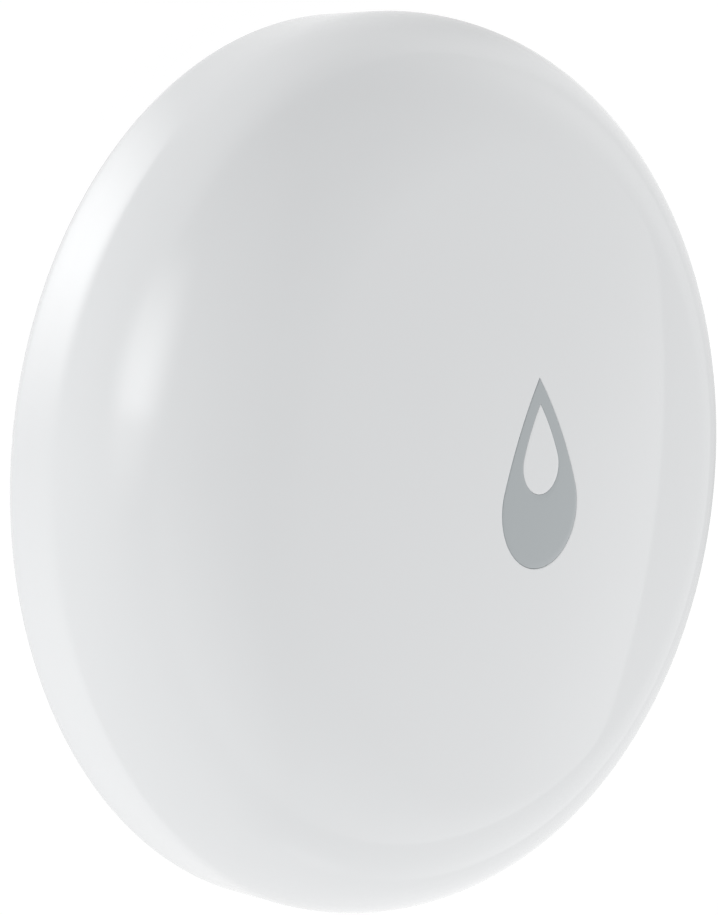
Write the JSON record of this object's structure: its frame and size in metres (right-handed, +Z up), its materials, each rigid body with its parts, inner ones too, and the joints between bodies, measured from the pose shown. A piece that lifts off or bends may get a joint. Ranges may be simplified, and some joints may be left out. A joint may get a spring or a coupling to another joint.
{
  "type": "water leak sensor",
  "caption": "Round domed water leak sensor with a drop-shaped key and light window in its face, and sensing screws, feet and a coin-slot battery door underneath.",
  "frame": {"origin": "on the surface that the feet stand on, under the middle of the disc", "axes": "+Z up out of the domed face, +Y towards the tip of the drop, +X to the right seen from above"},
  "size_m": [0.05, 0.05, 0.015],
  "materials": {
    "shell_white": "gloss, very slightly cool white",
    "drop_grey": "gloss mid grey",
    "window_white": "translucent white",
    "silicone": "translucent silicone",
    "inner_white": "matt moulding",
    "base_white": "fine spark-eroded texture",
    "black_plastic": "matt",
    "steel": "plated sheet",
    "probe_steel": "polished stainless steel",
    "brass": "turned",
    "ceramic": "ceramic",
    "board_green": "solder mask",
    "seal_rubber": "matt rubber"
  },
  "bodies": {
    "housing": {"outer_shell": "shell_white", "button_membrane": "silicone", "membrane_ring": "inner_white", "switch_cover": "steel", "switch_body": "black_plastic", "indicator_led": "window_white", "radio_chip": "black_plastic", "crystal": "steel", "antenna": "brass", "chip_components": "ceramic", "circuit_board": "board_green", "board_screws": "steel", "contact_plus": "steel", "contact_minus": "steel", "cell_holder": "black_plastic", "coin_cell": "steel", "probe_screw_left": "probe_steel", "probe_screw_right": "probe_steel", "probe_seals": "seal_rubber", "probe_inserts": "brass", "base_plate": "base_white", "base_seal": "seal_rubber"},
    "button": {"drop_button": "drop_grey", "drop_window": "window_white"},
    "plunger": {"switch_stem": "black_plastic"},
    "door": {"battery_cover": "base_white", "cover_seal": "seal_rubber"}
  },
  "joints": [
    {"name": "button_press", "type": "slide", "parent": "housing", "child": "button", "axis": [0, 0, -1], "range_m": [0, 0.0003], "stiffness_N_per_m": 1500, "deforming": ["button_membrane"]},
    {"name": "switch_press", "type": "slide", "parent": "housing", "child": "plunger", "axis": [0, 0, -1], "range_m": [0, 0.0003]},
    {"name": "door_twist", "type": "hinge", "parent": "housing", "child": "door", "pos_m": [0, 0, 0.0004], "axis": [0, 0, -1], "range_deg": [0, 45]}
  ],
  "couplings": [
    {"joint": "switch_press", "follows": "button_press", "ratio": 1}
  ]
}
